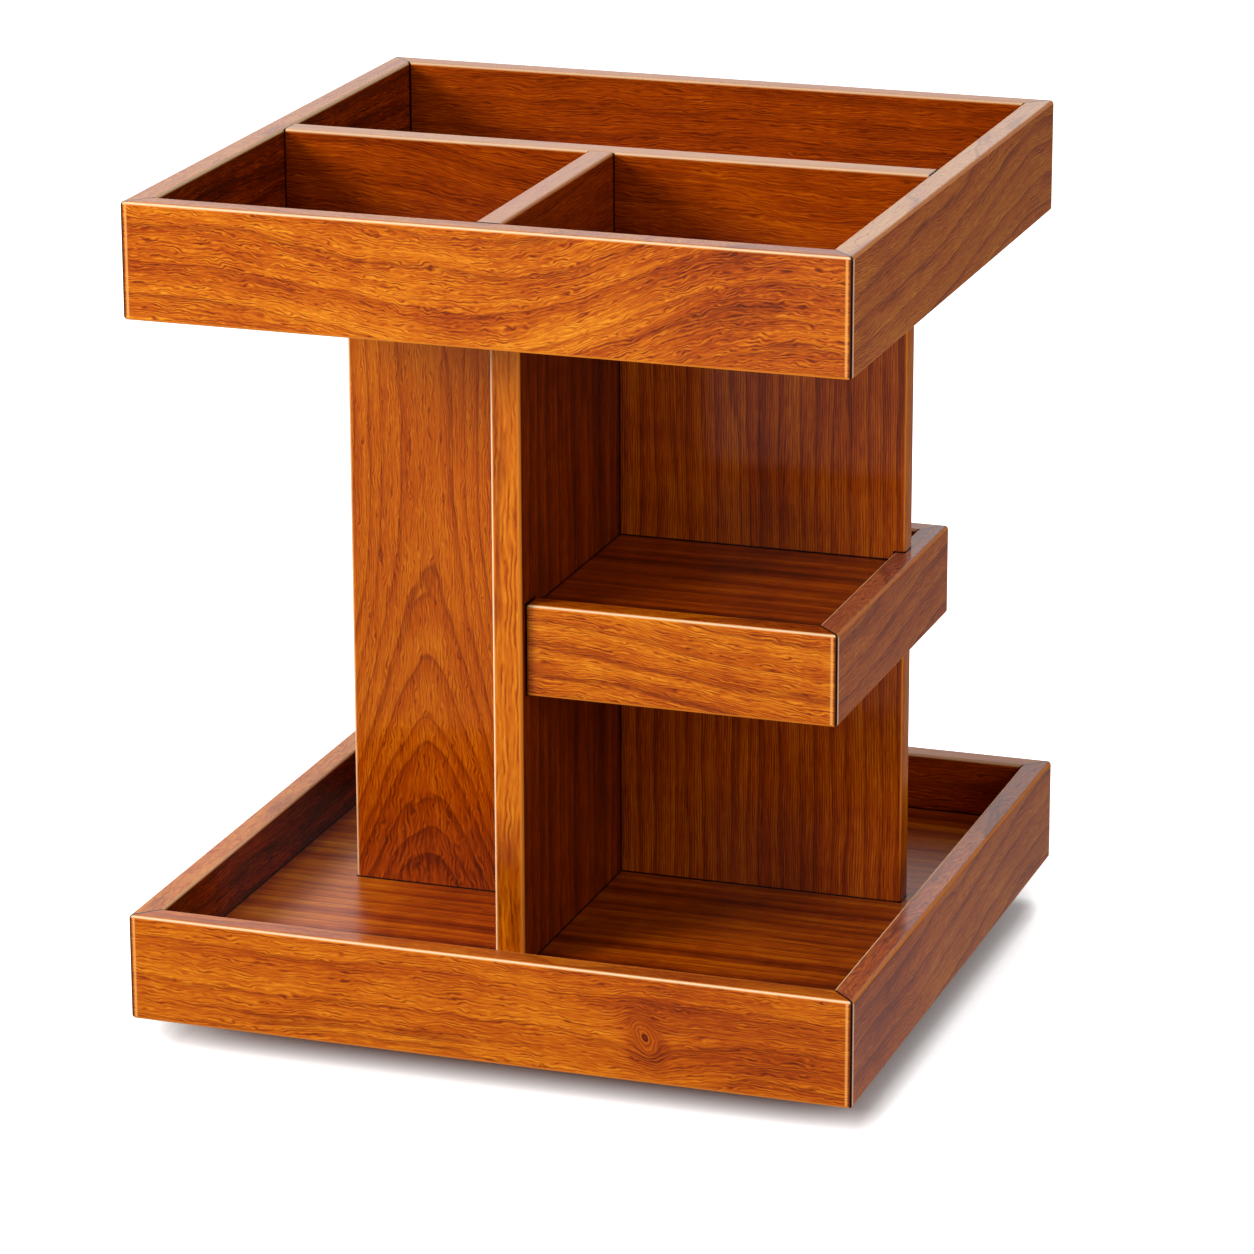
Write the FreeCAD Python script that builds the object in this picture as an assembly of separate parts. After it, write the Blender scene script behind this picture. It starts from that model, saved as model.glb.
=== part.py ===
import FreeCAD, Part
import math
import os

from FreeCAD import Vector

# A rotating makeup organizer in varnished hardwood. All sizes are in millimetres.
# The origin is on the table under the middle of the square base, +Z is up, and the front faces -Y.
# A square base tray turns on a hidden ball bearing. A column of three upright boards stands in it,
# carries a small shelf tray on its right side, and holds a square top tray with three compartments.

# Whole object
overall_width = 225.0
overall_depth = 225.0
overall_height = 265.0

# Timber
rail_thickness = 8.0
floor_thickness = 6.0
wing_thickness = 8.0
spine_thickness = 9.3
long_divider_thickness = 8.8
cross_divider_thickness = 8.0
arris_radius = 1.2
inner_arris_radius = 0.9

# Wood joints
groove_depth = 3.0
dado_depth = 3.0
wood_fit = 0.1

# Base tray: the recess is how far the rails hang below the floor and hide the bearing
base_rail_height = 33.0
base_recess = 8.5

# Top tray: the setback is how far each of its sides stands in from the base tray's
top_tray_setback = 3.0
top_rail_height = 35.0
top_recess = 3.0
long_divider_offset = 0.0
cross_divider_offset = 0.0

# Column: insets are from the outer faces of the base tray, offsets from the middle of the object
spine_offset = -6.8
spine_end_inset = 41.5
left_wing_inset = 33.3
left_wing_offset = -8.2
right_wing_inset = 23.4
right_wing_offset = 22.3

# Shelf tray
shelf_rim_above_floor = 112.8
shelf_rail_height = 28.2
shelf_lip = 2.6
shelf_front_setback = 3.4
shelf_rear_pocket = 17.4
shelf_overhang = 4.6
shelf_dado_depth = 2.5

# Turntable
foot_diameter = 16.0
foot_height = 3.0
foot_rounding = 0.6
foot_circle_radius = 56.0
foot_count = 4
disc_diameter = 140.0
disc_thickness = 12.0
access_hole_diameter = 12.0

# Ball bearing: two pressed square plates, face to face, with a ball race in each
bearing_height = 8.5
plate_side = 76.0
plate_thickness = 1.6
plate_corner_radius = 6.0
plate_hole_inset = 5.5
race_radius = 27.0
race_shoulder = 5.0
ball_count = 18
ball_race_gap = 0.25
cage_thickness = 1.0
cage_half_width = 4.0
cage_pocket_gap = 0.15
ring_bore_diameter = 24.0
ring_wall = 1.6
ring_flange_width = 2.6
ring_flange_thickness = 0.6
ring_running_gap = 0.4
ring_floor_gap = 0.2
ring_seat_gap = 0.05

# Fasteners: a cover is the wood left past a screw's tip
screw_diameter = 3.0
screw_head_diameter = 6.4
screw_head_height = 1.8
countersink_height = 1.9
screw_tip_length = 2.5
screw_recess_width = 0.9
screw_recess_span = 3.4
screw_recess_depth = 1.0
lower_screw_cover = 3.6
upper_screw_cover = 1.6
column_screw_length = 25.0
column_screw_end_inset = 13.5
dowel_diameter = 4.0
dowel_chamfer = 0.5
column_dowel_length = 16.0
column_dowel_in_floor = 4.0
column_dowel_end_inset = 22.0
end_dowel_length = 14.0
end_dowel_in_face = 5.0
pin_fit = 0.05
hole_end_gap = 0.5

# Levels
bearing_z0 = foot_height + disc_thickness
bearing_middle_z = bearing_z0 + bearing_height / 2
base_floor_z0 = bearing_z0 + bearing_height
base_floor_z1 = base_floor_z0 + floor_thickness
base_rail_z0 = base_floor_z0 - base_recess
base_rail_z1 = base_rail_z0 + base_rail_height
top_rail_z0 = overall_height - top_rail_height
top_floor_z0 = top_rail_z0 + top_recess
top_floor_z1 = top_floor_z0 + floor_thickness
shelf_rim_z = base_floor_z1 + shelf_rim_above_floor
shelf_rail_z0 = shelf_rim_z - shelf_rail_height
shelf_floor_z1 = shelf_rim_z - shelf_lip
shelf_floor_z0 = shelf_floor_z1 - floor_thickness

# Plan of the trays, the column and the dividers
half_width = overall_width / 2
half_depth = overall_depth / 2
top_half_width = half_width - top_tray_setback
top_half_depth = half_depth - top_tray_setback
top_inner_half_width = top_half_width - rail_thickness
top_inner_half_depth = top_half_depth - rail_thickness
spine_x0 = spine_offset - spine_thickness / 2
spine_x1 = spine_offset + spine_thickness / 2
spine_y0 = spine_end_inset - half_depth
spine_y1 = half_depth - spine_end_inset
left_wing_x0 = left_wing_inset - half_width
left_wing_y0 = left_wing_offset - wing_thickness / 2
left_wing_y1 = left_wing_offset + wing_thickness / 2
right_wing_x1 = half_width - right_wing_inset
right_wing_y0 = right_wing_offset - wing_thickness / 2
right_wing_y1 = right_wing_offset + wing_thickness / 2
shelf_x1 = right_wing_x1 + shelf_overhang
shelf_y0 = spine_y0 + shelf_front_setback
shelf_y1 = right_wing_y1 + shelf_rear_pocket + rail_thickness
shelf_inner_x1 = shelf_x1 - rail_thickness
shelf_inner_y0 = shelf_y0 + rail_thickness
shelf_inner_y1 = shelf_y1 - rail_thickness
halving_x = (spine_x1 + right_wing_x1) / 2
long_divider_y0 = long_divider_offset - long_divider_thickness / 2
long_divider_y1 = long_divider_offset + long_divider_thickness / 2
cross_divider_x0 = cross_divider_offset - cross_divider_thickness / 2
cross_divider_x1 = cross_divider_offset + cross_divider_thickness / 2

# Bearing: the plates lie an eighth of a turn apart, so that the upper screws can be reached through
# the access hole in the disc. Each plate's middle is pressed towards the other, which leaves room
# for the centre ring's flanges, and the balls fill the height between the two sheets.
plate_hole_radius = (plate_side / 2 - plate_hole_inset) * math.sqrt(2)
lower_hole_angles = (45, 135, 225, 315)
upper_hole_angles = (0, 90, 180, 270)
pan_rise = ring_flange_thickness + ring_running_gap + ring_floor_gap
ball_diameter = bearing_height - 2 * (plate_thickness + ball_race_gap)
ring_bore_radius = ring_bore_diameter / 2
ring_radius = ring_bore_radius + ring_wall

# Screws and dowels
screw_radius = screw_diameter / 2
screw_head_radius = screw_head_diameter / 2
lower_screw_length = screw_head_height + plate_thickness + disc_thickness - lower_screw_cover
upper_screw_length = screw_head_height + plate_thickness + floor_thickness - upper_screw_cover
dowel_hole_diameter = dowel_diameter + 2 * pin_fit
column_dowel_z0 = top_floor_z0 + column_dowel_in_floor - column_dowel_length
shelf_dowel_z = (shelf_rail_z0 + shelf_floor_z0) / 2
divider_dowel_z = (top_floor_z1 + overall_height) / 2

UP = Vector(0, 0, 1)
RIGHT = Vector(1, 0, 0)
BACK = Vector(0, 1, 0)
CENTRE = Vector(0, 0, 0)

# How far a cutting shape runs past what it cuts, and how near two equal coordinates are
PAST = 1.0
TINY = 0.001


def near(a, b):
    """Whether two coordinates are the same."""
    return abs(a - b) < TINY


def block(x0, x1, y0, y1, z0, z1):
    """A rectangular block between two corners."""
    return Part.makeBox(x1 - x0, y1 - y0, z1 - z0, Vector(x0, y0, z0))


def rod(diameter, length, start, direction=UP):
    """A round rod from a point along a direction."""
    return Part.makeCylinder(diameter / 2, length, start, direction)


def spun(profile, foot=CENTRE):
    """A solid turned from (radius, height) points about an upright axis through its foot."""
    points = [foot + Vector(radius, 0, height) for radius, height in profile]
    return Part.Face(Part.makePolygon(points + points[:1])).revolve(foot, UP, 360)


def eased(shape, radius, wanted=lambda box: True):
    """The shape with a rounding on the edges whose boxes the test wants."""
    return shape.makeFillet(radius, [edge for edge in shape.Edges if wanted(edge.BoundBox)])


def upright(box):
    """Whether an edge with this box leaves its level."""
    return not near(box.ZMin, box.ZMax)


def level_at(z):
    """A test for edges that lie at one height."""
    return lambda box: near(box.ZMin, z) and near(box.ZMax, z)


def rotated(shape, angle, centre=CENTRE, axis=UP):
    """A copy of the shape, turned in degrees about an axis."""
    copy = shape.copy()
    copy.rotate(centre, axis, angle)
    return copy


def on_circle(radius, angle, z):
    """The point at an angle on a level circle about the turning axis."""
    turn = math.radians(angle)
    return Vector(radius * math.cos(turn), radius * math.sin(turn), z)


# Frames of rails

def rail_frame(x0, x1, y0, y1, z0, z1, floor_z0, open_left=False):
    """A frame of rails round a rectangle, with eased arrises and a groove for the floor board."""
    inner_x0 = x0 - rail_thickness if open_left else x0 + rail_thickness
    inner_x1 = x1 - rail_thickness
    inner_y0 = y0 + rail_thickness
    inner_y1 = y1 - rail_thickness
    at_rim = level_at(z1)

    def inner_rim(box):
        in_x = inner_x0 - TINY < box.XMin and box.XMax < inner_x1 + TINY
        in_y = inner_y0 - TINY < box.YMin and box.YMax < inner_y1 + TINY
        return at_rim(box) and in_x and in_y

    frame = eased(block(x0, x1, y0, y1, z0, z1), arris_radius)
    frame = frame.cut(block(inner_x0, inner_x1, inner_y0, inner_y1, z0 - PAST, z1 + PAST))
    frame = eased(frame, inner_arris_radius, inner_rim)
    groove = block(
        inner_x0 - groove_depth, inner_x1 + groove_depth, inner_y0 - groove_depth, inner_y1 + groove_depth,
        floor_z0, floor_z0 + floor_thickness + wood_fit,
    )
    return frame.cut(groove)


def mitred_rails(frame, x0, x1, y0, y1, z0, z1):
    """The front, right, back and left rails of a frame, parted at 45 degrees through its corners."""
    reach = rail_thickness + PAST
    corners = [(x0, y0, 1, 1), (x1, y0, -1, 1), (x1, y1, -1, -1), (x0, y1, 1, -1)]
    rails = []
    for first, second in zip(corners, corners[1:] + corners[:1]):
        outline = [(x - PAST * to_x, y - PAST * to_y) for x, y, to_x, to_y in (first, second)]
        outline += [(x + reach * to_x, y + reach * to_y) for x, y, to_x, to_y in (second, first)]
        wedge = Part.Face(Part.makePolygon([Vector(x, y, z0 - PAST) for x, y in outline + outline[:1]]))
        rails.append(frame.common(wedge.extrude(UP * (z1 - z0 + 2 * PAST))))
    return rails


def centred_tray(name, half_x, half_y, z0, z1, floor_z0):
    """The four rails of a tray in the middle of the object, by node name."""
    place = (-half_x, half_x, -half_y, half_y, z0, z1)
    rails = mitred_rails(rail_frame(*place, floor_z0), *place)
    return {f"{name}_{side}_rail": rail for side, rail in zip(("front", "right", "back", "left"), rails)}


def centred_floor(half_x, half_y, z0):
    """A floor board that sits in the grooves of a tray in the middle of the object."""
    reach_x = half_x - rail_thickness + groove_depth - wood_fit
    reach_y = half_y - rail_thickness + groove_depth - wood_fit
    return block(-reach_x, reach_x, -reach_y, reach_y, z0, z0 + floor_thickness)


# Base tray and top tray

def base_floor():
    """The base tray's floor board, over the bearing and under the column."""
    floor = centred_floor(half_width, half_depth, base_floor_z0)
    return floor.cut(column_screw_holes() + upper_screw_holes())


def base_rails():
    """The base tray's four rails."""
    return centred_tray("base", half_width, half_depth, base_rail_z0, base_rail_z1, base_floor_z0)


def top_floor():
    """The top tray's floor board, pinned to the column."""
    return centred_floor(top_half_width, top_half_depth, top_floor_z0).cut(column_dowel_holes())


def top_rails():
    """The top tray's four rails, drilled for the dividers' dowels."""
    rails = centred_tray("top", top_half_width, top_half_depth, top_rail_z0, overall_height, top_floor_z0)
    return {name: rail.cut(divider_dowel_holes()) for name, rail in rails.items()}


def long_divider():
    """The divider across the whole width of the top tray."""
    board = block(
        -top_inner_half_width, top_inner_half_width,
        long_divider_y0, long_divider_y1, top_floor_z1, overall_height,
    )

    def top_arris(box):
        return near(box.ZMin, overall_height) and not near(box.XMin, box.XMax)

    return eased(board, inner_arris_radius, top_arris).cut(divider_dowel_holes())


def cross_divider():
    """The divider from the front rail back to the long divider."""
    board = block(
        cross_divider_x0, cross_divider_x1,
        -top_inner_half_depth, long_divider_y0, top_floor_z1, overall_height,
    )

    def top_arris(box):
        return near(box.ZMin, overall_height) and not near(box.YMin, box.YMax)

    return eased(board, inner_arris_radius, top_arris).cut(divider_dowel_holes())


# Shelf tray

def shelf_rails():
    """The shelf's front, right and back rails. The front and back ones butt against the spine."""
    place = (shelf_x1, shelf_y0, shelf_y1, shelf_rail_z0, shelf_rim_z)
    frame = rail_frame(spine_x1, *place, shelf_floor_z0, open_left=True)
    # The mitres are laid out on a longer frame, so that none falls at the spine.
    beyond_spine = spine_x1 - 2 * rail_thickness
    front, right, back, _ = mitred_rails(frame, beyond_spine, *place)
    front_hole, back_hole = shelf_dowel_holes()
    return {
        "shelf_front_rail": front.cut(front_hole),
        "shelf_right_rail": right,
        "shelf_back_rail": back.cut(back_hole),
    }


def shelf_floor():
    """The shelf's floor board, in the rails' grooves and the spine's dado, halved over the right wing."""
    reach = groove_depth - wood_fit
    board = block(
        spine_x1 - shelf_dado_depth + wood_fit, shelf_inner_x1 + reach,
        shelf_inner_y0 - reach, shelf_inner_y1 + reach, shelf_floor_z0, shelf_floor_z1,
    )
    slot = block(
        spine_x0, halving_x + wood_fit, right_wing_y0 - wood_fit, right_wing_y1 + wood_fit,
        shelf_floor_z0 - PAST, shelf_floor_z1 + PAST,
    )
    return board.cut(slot)


# Column

def spine_panel():
    """The deep middle board, with dados for both wings and for the shelf's floor."""
    low = base_floor_z1 - PAST
    high = top_floor_z0 + PAST
    board = block(spine_x0, spine_x1, spine_y0, spine_y1, base_floor_z1, top_floor_z0)
    board = eased(board, arris_radius, upright)
    left_dado = block(
        spine_x0 - PAST, spine_x0 + dado_depth, left_wing_y0 - wood_fit, left_wing_y1 + wood_fit, low, high
    )
    right_dado = block(
        spine_x1 - dado_depth, spine_x1 + PAST, right_wing_y0 - wood_fit, right_wing_y1 + wood_fit, low, high
    )
    shelf_dado = block(
        spine_x1 - shelf_dado_depth, spine_x1 + PAST,
        shelf_inner_y0 - groove_depth, shelf_inner_y1 + groove_depth,
        shelf_floor_z0, shelf_floor_z1 + wood_fit,
    )
    dados = [left_dado, right_dado, shelf_dado]
    return board.cut(dados + shelf_dowel_holes() + column_dowel_holes() + column_screw_holes())


def left_wing_panel():
    """The left wing board, from its dado in the spine to a rounded free edge."""
    board = block(
        left_wing_x0, spine_x0 + dado_depth - wood_fit,
        left_wing_y0, left_wing_y1, base_floor_z1, top_floor_z0,
    )

    def free_edge(box):
        return upright(box) and near(box.XMax, left_wing_x0)

    return eased(board, arris_radius, free_edge).cut(column_dowel_holes() + column_screw_holes())


def right_wing_panel():
    """The right wing board, halved over the shelf's floor and notched round the shelf's right rail."""
    board = block(
        spine_x1 - dado_depth + wood_fit, right_wing_x1,
        right_wing_y0, right_wing_y1, base_floor_z1, top_floor_z0,
    )

    def free_edge(box):
        return upright(box) and near(box.XMin, right_wing_x1)

    slot = block(
        halving_x - wood_fit, right_wing_x1 + PAST, right_wing_y0 - PAST, right_wing_y1 + PAST,
        shelf_floor_z0 - wood_fit, shelf_floor_z1 + wood_fit,
    )
    notch = block(
        shelf_inner_x1 - wood_fit, right_wing_x1 + PAST, right_wing_y0 - PAST, right_wing_y1 + PAST,
        shelf_rail_z0 - wood_fit, shelf_rim_z + wood_fit,
    )
    board = eased(board, arris_radius, free_edge)
    return board.cut([slot, notch] + column_dowel_holes() + column_screw_holes())


# Dowels

def dowel(length, start, direction):
    """A wooden dowel with chamfered ends."""
    peg = rod(dowel_diameter, length, start, direction)
    return peg.makeChamfer(dowel_chamfer, [edge for edge in peg.Edges if edge.Closed])


def dowel_hole(length, start, direction):
    """The hole that a dowel fills, with room at both ends."""
    return rod(dowel_hole_diameter, length + 2 * hole_end_gap, start - direction * hole_end_gap, direction)


def column_dowel_parts(maker):
    """What the maker gives for each dowel between the column and the top tray's floor."""
    spots = [
        (spine_offset, spine_y0 + column_dowel_end_inset),
        (spine_offset, spine_y1 - column_dowel_end_inset),
        (left_wing_x0 + column_dowel_end_inset, left_wing_offset),
        (right_wing_x1 - column_dowel_end_inset, right_wing_offset),
    ]
    return [maker(column_dowel_length, Vector(x, y, column_dowel_z0), UP) for x, y in spots]


def shelf_dowel_parts(maker):
    """What the maker gives for the dowels between the spine and the shelf's front and back rails."""
    x = spine_x1 - end_dowel_in_face
    rail_middles = (shelf_y0 + rail_thickness / 2, shelf_y1 - rail_thickness / 2)
    return [maker(end_dowel_length, Vector(x, y, shelf_dowel_z), RIGHT) for y in rail_middles]


def divider_dowel_parts(maker):
    """What the maker gives for the dowel at each divider's end. Each starts in the board that it pins to."""
    inset = end_dowel_in_face
    axes = [
        (Vector(-top_inner_half_width - inset, long_divider_offset, divider_dowel_z), RIGHT),
        (Vector(top_inner_half_width + inset, long_divider_offset, divider_dowel_z), -RIGHT),
        (Vector(cross_divider_offset, -top_inner_half_depth - inset, divider_dowel_z), BACK),
        (Vector(cross_divider_offset, long_divider_y0 + inset, divider_dowel_z), -BACK),
    ]
    return [maker(end_dowel_length, start, direction) for start, direction in axes]


def column_dowel_holes():
    """The holes for the column's dowels."""
    return column_dowel_parts(dowel_hole)


def shelf_dowel_holes():
    """The holes for the shelf's dowels, the front rail's first."""
    return shelf_dowel_parts(dowel_hole)


def divider_dowel_holes():
    """The holes for the dividers' dowels."""
    return divider_dowel_parts(dowel_hole)


# Screws

def cross_recess(head):
    """The two bars that cut a driver's recess up into a head whose outer face lies at a point."""
    bar = block(
        -screw_recess_span / 2, screw_recess_span / 2, -screw_recess_width / 2, screw_recess_width / 2,
        -PAST, screw_recess_depth,
    )
    bars = [bar, rotated(bar, 90)]
    for each in bars:
        each.translate(head)
    return bars


def pan_screw(head, length):
    """A pan head wood screw that points up from its head's outer face."""
    profile = [
        (0, 0), (screw_head_radius, 0), (screw_head_radius, screw_head_height),
        (screw_radius, screw_head_height), (screw_radius, length - screw_tip_length), (0, length),
    ]
    return spun(profile, head).cut(cross_recess(head))


def flush_screw(head, length):
    """A countersunk wood screw that points up from its head's outer face."""
    profile = [
        (0, 0), (screw_head_radius, 0), (screw_radius, countersink_height),
        (screw_radius, length - screw_tip_length), (0, length),
    ]
    return spun(profile, head).cut(cross_recess(head))


def pilot_hole(head, length):
    """The hole that a screw's shank fills, from its head's outer face up past its tip."""
    return rod(screw_diameter + 2 * pin_fit, length + hole_end_gap, head)


def sunk_hole(head, length):
    """A pilot hole with a countersink."""
    sink = Part.makeCone(screw_head_radius + pin_fit, screw_radius + pin_fit, countersink_height, head, UP)
    return pilot_hole(head, length).fuse(sink)


def column_screw_parts(maker):
    """What the maker gives for each screw up into the column, its head flush with the floor's underside."""
    spots = [
        (spine_offset, spine_y0 + column_screw_end_inset),
        (spine_offset, spine_y1 - column_screw_end_inset),
        (left_wing_x0 + column_screw_end_inset, left_wing_offset),
        (right_wing_x1 - column_screw_end_inset, right_wing_offset),
    ]
    return [maker(Vector(x, y, base_floor_z0), column_screw_length) for x, y in spots]


def upper_screw_parts(maker):
    """What the maker gives for each screw up through the upper plate into the base tray's floor."""
    z = base_floor_z0 - plate_thickness - screw_head_height
    return [maker(on_circle(plate_hole_radius, angle, z), upper_screw_length) for angle in upper_hole_angles]


def lower_screw_parts(maker):
    """What the maker gives for each screw down through the lower plate into the disc."""
    z = bearing_z0 + plate_thickness + screw_head_height
    parts = []
    for angle in lower_hole_angles:
        head = on_circle(plate_hole_radius, angle, z)
        parts.append(rotated(maker(head, lower_screw_length), 180, head, RIGHT))
    return parts


def column_screw_holes():
    """The holes for the column's screws, in the base tray's floor and in the boards."""
    return column_screw_parts(sunk_hole)


def upper_screw_holes():
    """The holes for the upper plate's screws."""
    return upper_screw_parts(pilot_hole)


def lower_screw_holes():
    """The holes for the lower plate's screws."""
    return lower_screw_parts(pilot_hole)


# Turntable

def rubber_feet():
    """Soft feet under the disc, rounded at the table."""
    feet = []
    for number in range(foot_count):
        place = on_circle(foot_circle_radius, 360 * (number + 0.5) / foot_count, 0)
        feet.append(eased(rod(foot_diameter, foot_height, place), foot_rounding, level_at(0)))
    return feet


def turntable_disc():
    """The wooden disc that stays still on the table, with a hole to reach the upper screws through."""
    disc = rod(disc_diameter, disc_thickness, Vector(0, 0, foot_height))
    disc = eased(disc, arris_radius, lambda box: not upright(box))
    place = on_circle(plate_hole_radius, upper_hole_angles[-1], foot_height - PAST)
    access_hole = rod(access_hole_diameter, disc_thickness + 2 * PAST, place)
    return disc.cut([access_hole] + lower_screw_holes())


def race_plate():
    """A square sheet whose middle is pressed up and grooved for the balls, as the lower plate lies."""
    half = plate_side / 2
    floor = Vector(0, 0, bearing_z0)
    sheet = block(-half, half, -half, half, bearing_z0, bearing_z0 + plate_thickness)
    sheet = eased(sheet, plate_corner_radius, upright)
    pan = rod(2 * (race_radius + race_shoulder), plate_thickness + pan_rise, floor)
    dish = rod(2 * (race_radius - race_shoulder), pan_rise, floor)
    groove_radius = ball_diameter / 2 + ball_race_gap
    groove = Part.makeTorus(race_radius, groove_radius, Vector(0, 0, bearing_middle_z))
    return sheet.fuse(pan).removeSplitter().cut([dish, groove])


def ring_hole(gap):
    """The hole in the middle of both plates, a gap wider than the centre ring."""
    return rod(2 * (ring_radius + gap), bearing_height, Vector(0, 0, bearing_z0))


def bearing_lower_plate():
    """The plate screwed to the disc, closed round the centre ring."""
    return race_plate().cut([ring_hole(ring_seat_gap)] + lower_screw_holes())


def bearing_upper_plate():
    """The plate screwed to the base tray's floor, free of the centre ring."""
    plate = rotated(race_plate(), 180, Vector(0, 0, bearing_middle_z), RIGHT)
    plate = rotated(plate, upper_hole_angles[0] - lower_hole_angles[0])
    return plate.cut([ring_hole(ring_running_gap)] + upper_screw_holes())


def bearing_centre_ring():
    """The swaged ring that keeps both plates together: a tube with a flange in each plate's dish."""
    flange = ring_radius + ring_flange_width
    seat = bearing_z0 + pan_rise
    foot = seat - ring_flange_thickness
    lift = base_floor_z0 - pan_rise + ring_running_gap
    top = lift + ring_flange_thickness
    return spun([
        (ring_bore_radius, foot), (flange, foot), (flange, seat), (ring_radius, seat),
        (ring_radius, lift), (flange, lift), (flange, top), (ring_bore_radius, top),
    ])


def ball_places():
    """The centres of the balls."""
    turns = [360 * number / ball_count for number in range(ball_count)]
    return [on_circle(race_radius, turn, bearing_middle_z) for turn in turns]


def bearing_balls():
    """The steel balls."""
    return [Part.makeSphere(ball_diameter / 2, place) for place in ball_places()]


def bearing_ball_cage():
    """The flat ring that keeps the balls apart."""
    low = Vector(0, 0, bearing_middle_z - cage_thickness / 2)
    ring = rod(2 * (race_radius + cage_half_width), cage_thickness, low)
    bore = rod(2 * (race_radius - cage_half_width), cage_thickness, low)
    pockets = [rod(ball_diameter + 2 * cage_pocket_gap, 2 * cage_thickness, place - UP * cage_thickness)
               for place in ball_places()]
    return ring.cut([bore] + pockets)


def all_nodes():
    """Every sub-part by name. A list is a group of alike solids."""
    return {
        "rubber_feet": rubber_feet(),
        "turntable_disc": turntable_disc(),
        "bearing_lower_plate": bearing_lower_plate(),
        "bearing_centre_ring": bearing_centre_ring(),
        "lower_plate_screws": lower_screw_parts(pan_screw),
        "bearing_balls": bearing_balls(),
        "bearing_ball_cage": bearing_ball_cage(),
        "bearing_upper_plate": bearing_upper_plate(),
        "upper_plate_screws": upper_screw_parts(pan_screw),
        "base_floor": base_floor(),
        **base_rails(),
        "column_base_screws": column_screw_parts(flush_screw),
        "spine_panel": spine_panel(),
        "left_wing_panel": left_wing_panel(),
        "right_wing_panel": right_wing_panel(),
        "column_dowels": column_dowel_parts(dowel),
        "shelf_floor": shelf_floor(),
        **shelf_rails(),
        "shelf_dowels": shelf_dowel_parts(dowel),
        "top_floor": top_floor(),
        **top_rails(),
        "long_divider": long_divider(),
        "cross_divider": cross_divider(),
        "divider_dowels": divider_dowel_parts(dowel),
    }


os.makedirs("parts", exist_ok=True)
for node, made in all_nodes().items():
    shape = Part.makeCompound(made) if isinstance(made, list) else made
    shape.exportStep(f"parts/{node}.step")
    print(node, len(shape.Solids), round(shape.Volume, 1), shape.isValid())
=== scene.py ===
"""Looks of the rotating makeup organizer: gloss-lacquered sheesham boards on a small turntable."""

import math

import bmesh
import bpy
from mathutils import Matrix, Vector


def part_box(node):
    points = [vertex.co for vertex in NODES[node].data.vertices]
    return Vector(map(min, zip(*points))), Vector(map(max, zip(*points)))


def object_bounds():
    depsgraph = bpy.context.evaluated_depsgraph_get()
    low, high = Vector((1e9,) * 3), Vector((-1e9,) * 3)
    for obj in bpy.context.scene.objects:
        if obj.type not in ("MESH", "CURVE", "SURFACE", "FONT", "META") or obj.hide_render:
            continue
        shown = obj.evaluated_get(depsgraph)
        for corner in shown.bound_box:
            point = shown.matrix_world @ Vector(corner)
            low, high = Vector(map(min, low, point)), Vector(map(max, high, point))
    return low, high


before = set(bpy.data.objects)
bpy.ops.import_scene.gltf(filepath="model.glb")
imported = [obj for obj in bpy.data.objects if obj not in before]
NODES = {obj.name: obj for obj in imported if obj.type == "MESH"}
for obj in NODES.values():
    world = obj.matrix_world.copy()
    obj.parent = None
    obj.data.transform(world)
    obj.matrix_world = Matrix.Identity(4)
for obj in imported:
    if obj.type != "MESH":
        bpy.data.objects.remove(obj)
cad_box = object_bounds()

MM = 0.001
AXES = "XYZ"


# Colours and node building

def linear(code):
    """An sRGB hex colour such as "#c8661c" as linear red, green, blue and alpha."""
    parts = [int(code[i:i + 2], 16) / 255 for i in (1, 3, 5)]
    parts = [c / 12.92 if c <= 0.04045 else ((c + 0.055) / 1.055) ** 2.4 for c in parts]
    return (*parts, 1.0)


def set_inputs(tree, node, inputs):
    """Links or sets each named input of a node."""
    for name, value in inputs.items():
        if isinstance(value, bpy.types.NodeSocket):
            tree.links.new(value, node.inputs[name])
        else:
            node.inputs[name].default_value = value


def add(tree, kind, inputs, out=0, **settings):
    """Adds one shader node with its settings and its inputs, links or values, and returns one output."""
    node = tree.nodes.new("ShaderNode" + kind)
    for name, value in settings.items():
        setattr(node, name, value)
    set_inputs(tree, node, inputs)
    return node.outputs[out]


def colour_steps(tree, value, steps):
    """A colour ramp through (place, hex colour) steps."""
    ramp_colour = add(tree, "ValToRGB", {"Fac": value}, out="Color")
    ramp = ramp_colour.node.color_ramp
    while len(ramp.elements) < len(steps):
        ramp.elements.new(1.0)
    for element, (place, code) in zip(ramp.elements, steps):
        element.position = place
        element.color = linear(code)
    return ramp_colour


def empty_tree(owner):
    """The node tree of a material or a world, emptied."""
    owner.use_nodes = True
    owner.node_tree.nodes.clear()
    return owner.node_tree


def new_material(name):
    """A node material with one principled shader, its tree and that shader."""
    material = bpy.data.materials.new(name)
    tree = empty_tree(material)
    surface = add(tree, "BsdfPrincipled", {}, out="BSDF")
    set_inputs(tree, tree.nodes.new("ShaderNodeOutputMaterial"), {"Surface": surface})
    return material, tree, surface.node


def object_point(tree):
    """The surface point in millimetres, in the object's own frame."""
    point = add(tree, "TexCoord", {}, out="Object")
    return add(tree, "VectorMath", {0: point, "Scale": 1 / MM}, operation="SCALE")


# Where the boards are

def along_axis(axis):
    """The unit vector along one axis."""
    return Vector([float(a == axis) for a in AXES])


def board_box(name):
    """Lowest and highest corner of a node, in millimetres."""
    low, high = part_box(name)
    return low / MM, high / MM


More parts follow.
